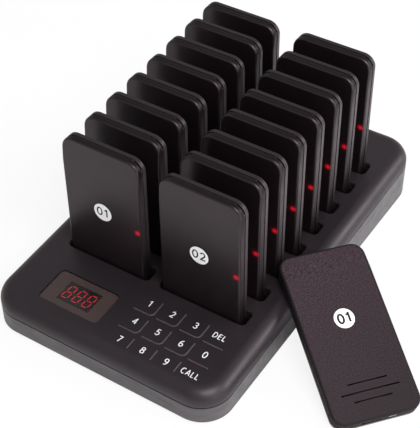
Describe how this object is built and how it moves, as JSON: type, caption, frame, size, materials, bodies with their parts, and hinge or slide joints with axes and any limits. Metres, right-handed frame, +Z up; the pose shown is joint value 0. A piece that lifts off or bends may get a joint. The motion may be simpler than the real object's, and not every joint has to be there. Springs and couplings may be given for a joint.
{
  "type": "guest pager charging base",
  "caption": "Wedge-shaped charging base with a touch keypad and small display, two columns of upright pagers docked in slots, and one loose pager lying against its side.",
  "frame": {"origin": "on the counter, at the middle of the base plan, where the feet rest", "axes": "+X right across the keypad, +Y to the back, +Z up"},
  "size_m": [0.2533, 0.2612, 0.1225],
  "materials": {
    "deck_plastic": "satin",
    "skirt_plastic": "fine brushed look, satin",
    "foot_rubber": "matte",
    "screw_steel": "plain",
    "window_tint": "clear, tinted",
    "display_body": "gloss",
    "board_green": "solder mask",
    "antenna_brass": "plain",
    "contact_brass": "plated",
    "black_plastic": "matte",
    "tray_plastic": "matte",
    "rocker_plastic": "gloss",
    "battery_foil": "foil",
    "light_red": "translucent",
    "pager_front_plastic": "satin",
    "pager_back_plastic": "satin",
    "loose_front_plastic": "fine grain"
  },
  "bodies": {
    "base": {"antenna": "antenna_brass", "board_screws": "screw_steel", "bottom_shell": "skirt_plastic", "buzzer": "black_plastic", "case_screws": "screw_steel", "charging_board_left": "board_green", "charging_board_right": "board_green", "charging_contacts": "contact_brass", "dc_inlet": "black_plastic", "display_module": "display_body", "display_window": "window_tint", "main_board": "board_green", "pocket_tray_left": "tray_plastic", "pocket_tray_right": "tray_plastic", "power_switch_housing": "black_plastic", "rubber_feet": "foot_rubber", "top_shell": "deck_plastic", "touch_sensor_board": "board_green"},
    "power_switch_rocker": {"power_switch_rocker": "rocker_plastic"},
    "pager_01": {"pager_01_front_shell": "pager_front_plastic", "pager_01_back_shell": "pager_back_plastic"},
    "pager_02": {"pager_02_front_shell": "pager_front_plastic", "pager_02_back_shell": "pager_back_plastic"},
    "pager_03": {"pager_03_front_shell": "pager_front_plastic", "pager_03_back_shell": "pager_back_plastic"},
    "pager_04": {"pager_04_front_shell": "pager_front_plastic", "pager_04_back_shell": "pager_back_plastic"},
    "pager_05": {"pager_05_front_shell": "pager_front_plastic", "pager_05_back_shell": "pager_back_plastic"},
    "pager_06": {"pager_06_front_shell": "pager_front_plastic", "pager_06_back_shell": "pager_back_plastic"},
    "pager_07": {"pager_07_front_shell": "pager_front_plastic", "pager_07_back_shell": "pager_back_plastic"},
    "pager_08": {"pager_08_front_shell": "pager_front_plastic", "pager_08_back_shell": "pager_back_plastic"},
    "pager_09": {"pager_09_front_shell": "pager_front_plastic", "pager_09_back_shell": "pager_back_plastic"},
    "pager_10": {"pager_10_front_shell": "pager_front_plastic", "pager_10_back_shell": "pager_back_plastic"},
    "pager_11": {"pager_11_front_shell": "pager_front_plastic", "pager_11_back_shell": "pager_back_plastic"},
    "pager_12": {"pager_12_front_shell": "pager_front_plastic", "pager_12_back_shell": "pager_back_plastic"},
    "pager_13": {"pager_13_front_shell": "pager_front_plastic", "pager_13_back_shell": "pager_back_plastic"},
    "pager_14": {"pager_14_front_shell": "pager_front_plastic", "pager_14_back_shell": "pager_back_plastic"},
    "pager_15": {"pager_15_front_shell": "pager_front_plastic", "pager_15_back_shell": "pager_back_plastic"},
    "pager_16": {"pager_16_front_shell": "pager_front_plastic", "pager_16_back_shell": "pager_back_plastic"},
    "loose_pager": {"loose_pager_back_shell": "pager_back_plastic", "loose_pager_battery": "battery_foil", "loose_pager_charge_contacts": "contact_brass", "loose_pager_circuit_board": "board_green", "loose_pager_front_shell": "loose_front_plastic", "loose_pager_light_pipe": "light_red", "loose_pager_screws": "screw_steel", "loose_pager_speaker": "black_plastic", "loose_pager_vibration_motor": "screw_steel"}
  },
  "joints": [
    {"name": "pager_01_lift", "type": "slide", "parent": "base", "child": "pager_01", "axis": [0, 0, 1], "range_m": [0, 0.12]},
    {"name": "pager_02_lift", "type": "slide", "parent": "base", "child": "pager_02", "axis": [0, 0, 1], "range_m": [0, 0.12]},
    {"name": "pager_03_lift", "type": "slide", "parent": "base", "child": "pager_03", "axis": [0, 0, 1], "range_m": [0, 0.12]},
    {"name": "pager_04_lift", "type": "slide", "parent": "base", "child": "pager_04", "axis": [0, 0, 1], "range_m": [0, 0.12]},
    {"name": "pager_05_lift", "type": "slide", "parent": "base", "child": "pager_05", "axis": [0, 0, 1], "range_m": [0, 0.12]},
    {"name": "pager_06_lift", "type": "slide", "parent": "base", "child": "pager_06", "axis": [0, 0, 1], "range_m": [0, 0.12]},
    {"name": "pager_07_lift", "type": "slide", "parent": "base", "child": "pager_07", "axis": [0, 0, 1], "range_m": [0, 0.12]},
    {"name": "pager_08_lift", "type": "slide", "parent": "base", "child": "pager_08", "axis": [0, 0, 1], "range_m": [0, 0.12]},
    {"name": "pager_09_lift", "type": "slide", "parent": "base", "child": "pager_09", "axis": [0, 0, 1], "range_m": [0, 0.12]},
    {"name": "pager_10_lift", "type": "slide", "parent": "base", "child": "pager_10", "axis": [0, 0, 1], "range_m": [0, 0.12]},
    {"name": "pager_11_lift", "type": "slide", "parent": "base", "child": "pager_11", "axis": [0, 0, 1], "range_m": [0, 0.12]},
    {"name": "pager_12_lift", "type": "slide", "parent": "base", "child": "pager_12", "axis": [0, 0, 1], "range_m": [0, 0.12]},
    {"name": "pager_13_lift", "type": "slide", "parent": "base", "child": "pager_13", "axis": [0, 0, 1], "range_m": [0, 0.12]},
    {"name": "pager_14_lift", "type": "slide", "parent": "base", "child": "pager_14", "axis": [0, 0, 1], "range_m": [0, 0.12]},
    {"name": "pager_15_lift", "type": "slide", "parent": "base", "child": "pager_15", "axis": [0, 0, 1], "range_m": [0, 0.12]},
    {"name": "pager_16_lift", "type": "slide", "parent": "base", "child": "pager_16", "axis": [0, 0, 1], "range_m": [0, 0.12]},
    {"name": "loose_pager_lift", "type": "slide", "parent": "base", "child": "loose_pager", "axis": [0, 0, 1], "range_m": [0, 0.12]},
    {"name": "power_switch_rock", "type": "hinge", "parent": "base", "child": "power_switch_rocker", "pos_m": [0.04, 0.1291, 0.0136], "axis": [0, 0, 1], "range_deg": [0, 16]}
  ]
}
